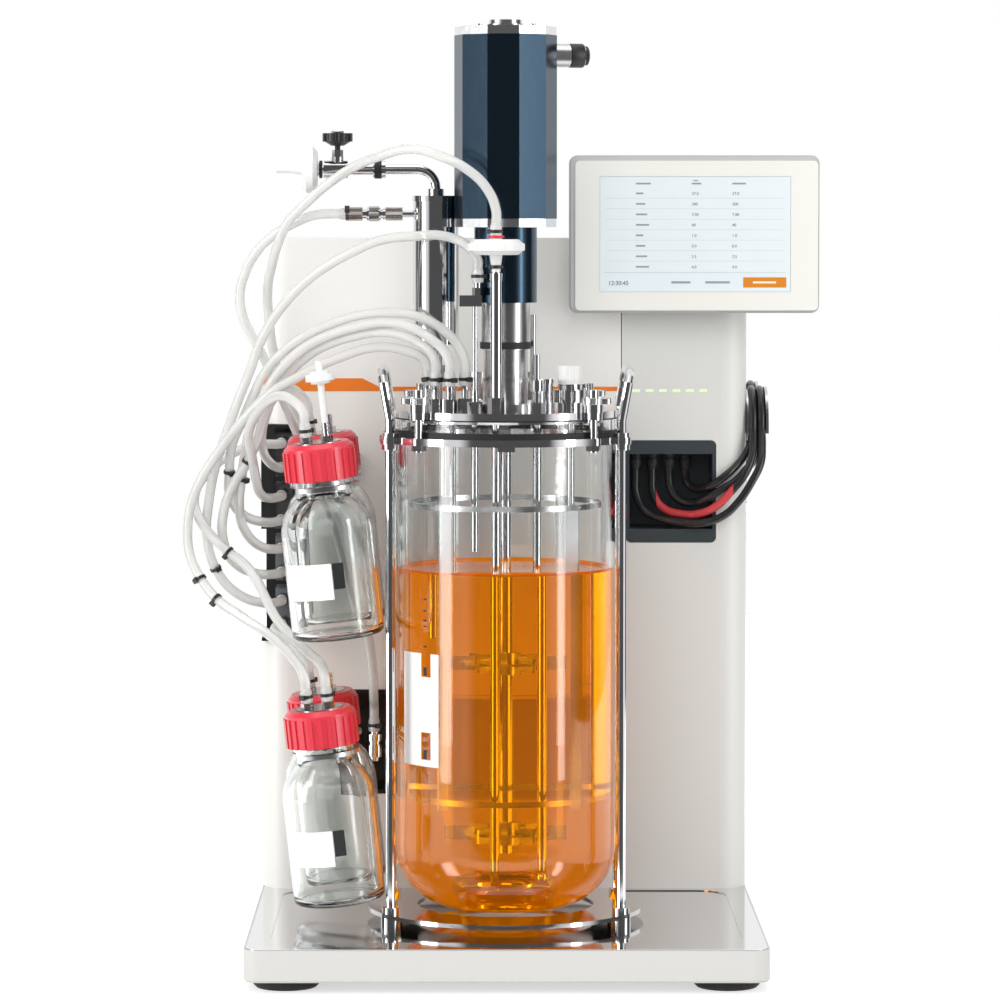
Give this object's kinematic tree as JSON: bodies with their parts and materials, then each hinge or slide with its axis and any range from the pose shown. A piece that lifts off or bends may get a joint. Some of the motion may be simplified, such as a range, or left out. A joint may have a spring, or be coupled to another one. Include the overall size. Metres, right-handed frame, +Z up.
{
  "type": "bench bioreactor",
  "caption": "Bench-top stirred bioreactor: jacket-free glass vessel with steel lid and motor drive on a tray, pump and sensor tower, touch screen, reagent bottles and hoses.",
  "frame": {"origin": "centre of the bounding box of everything but the hoses and leads, on the bench plane under the feet", "axes": "+Z up the vessel, -Y towards the operator, +X to the operator's right"},
  "size_m": [0.4668, 0.448, 0.6745],
  "materials": {
    "white_housing": "satin",
    "column_paint": "satin",
    "tray_steel": "polished",
    "black_rubber": "matte",
    "stripe_orange": "satin",
    "indicator": "gloss",
    "slate_plastic": "satin",
    "black_plastic": "satin",
    "grey_plastic": "satin",
    "white_plastic": "satin",
    "satin_steel": "satin",
    "polished_steel": "polished",
    "screen_white": "satin",
    "display": "gloss",
    "clear_glass": "gloss",
    "motor_paint": "gloss",
    "satin_aluminium": "satin",
    "red_plastic": "gloss",
    "clear_hose": "satin",
    "black_jacket": "satin"
  },
  "bodies": {
    "instrument": {"tray_housing": "white_housing", "tray_plate": "tray_steel", "rubber_feet": "black_rubber", "tower_shell": "white_housing", "column_shell": "column_paint", "back_panel": "white_housing", "accent_stripe": "stripe_orange", "status_lights": "indicator", "sensor_bay": "slate_plastic", "lead_plugs": "black_jacket", "pump_bay": "black_plastic", "pump_heads": "grey_plastic", "pump_motors": "satin_steel", "service_bay": "black_plastic", "service_couplings": "polished_steel", "screen_bracket": "satin_aluminium", "screen_case": "screen_white", "screen_panel": "display", "lead_hook": "polished_steel", "mains_inlet": "black_plastic", "stand_base": "polished_steel", "stand_ring": "polished_steel", "handle_left": "polished_steel", "handle_right": "polished_steel", "glass_vessel": "clear_glass", "vessel_seals": "black_rubber", "lid": "polished_steel", "clamp_screws": "polished_steel", "bearing_housing": "satin_steel", "clutch_housing": "satin_steel", "motor_adapter": "motor_paint", "motor_body": "motor_paint", "motor_caps": "satin_aluminium", "motor_socket": "satin_steel", "baffle_cage": "satin_steel", "sparger": "polished_steel", "inlet_filter": "white_plastic", "dip_tubes": "polished_steel", "lid_ports": "polished_steel", "septum_cap": "white_plastic", "exit_cooler": "polished_steel", "needle_valve": "polished_steel", "vent_filters": "white_plastic", "bottle_rack": "satin_steel", "bottles": "clear_glass", "bottle_caps": "red_plastic", "cap_fittings": "satin_steel", "cooler_hose": "clear_hose", "air_hose": "clear_hose", "feed_hoses": "clear_hose", "bottle_hoses": "clear_hose", "sensor_leads": "black_jacket"},
    "stirrer": {"drive_shaft": "polished_steel", "impeller_upper": "satin_steel", "impeller_lower": "satin_steel"},
    "handwheel": {"valve_handwheel": "black_plastic"},
    "pump_1": {"pump_rotor_1": "white_plastic"},
    "pump_2": {"pump_rotor_2": "white_plastic"},
    "pump_3": {"pump_rotor_3": "white_plastic"},
    "pump_4": {"pump_rotor_4": "white_plastic"}
  },
  "joints": [
    {"name": "stirrer_spin", "type": "hinge", "parent": "instrument", "child": "stirrer", "pos_m": [-0.025, -0.072, 0.3], "axis": [0, 0, 1], "continuous": true},
    {"name": "pump_1_spin", "type": "hinge", "parent": "instrument", "child": "pump_1", "pos_m": [-0.189, 0.068, 0.2395], "axis": [1, 0, 0], "continuous": true},
    {"name": "pump_2_spin", "type": "hinge", "parent": "instrument", "child": "pump_2", "pos_m": [-0.189, 0.068, 0.2785], "axis": [1, 0, 0], "continuous": true},
    {"name": "pump_3_spin", "type": "hinge", "parent": "instrument", "child": "pump_3", "pos_m": [-0.189, 0.068, 0.3175], "axis": [1, 0, 0], "continuous": true},
    {"name": "pump_4_spin", "type": "hinge", "parent": "instrument", "child": "pump_4", "pos_m": [-0.189, 0.068, 0.3565], "axis": [1, 0, 0], "continuous": true},
    {"name": "handwheel_turn", "type": "hinge", "parent": "instrument", "child": "handwheel", "pos_m": [-0.146, -0.052, 0.575], "axis": [0, 0, 1], "range_deg": [0, 720]}
  ]
}
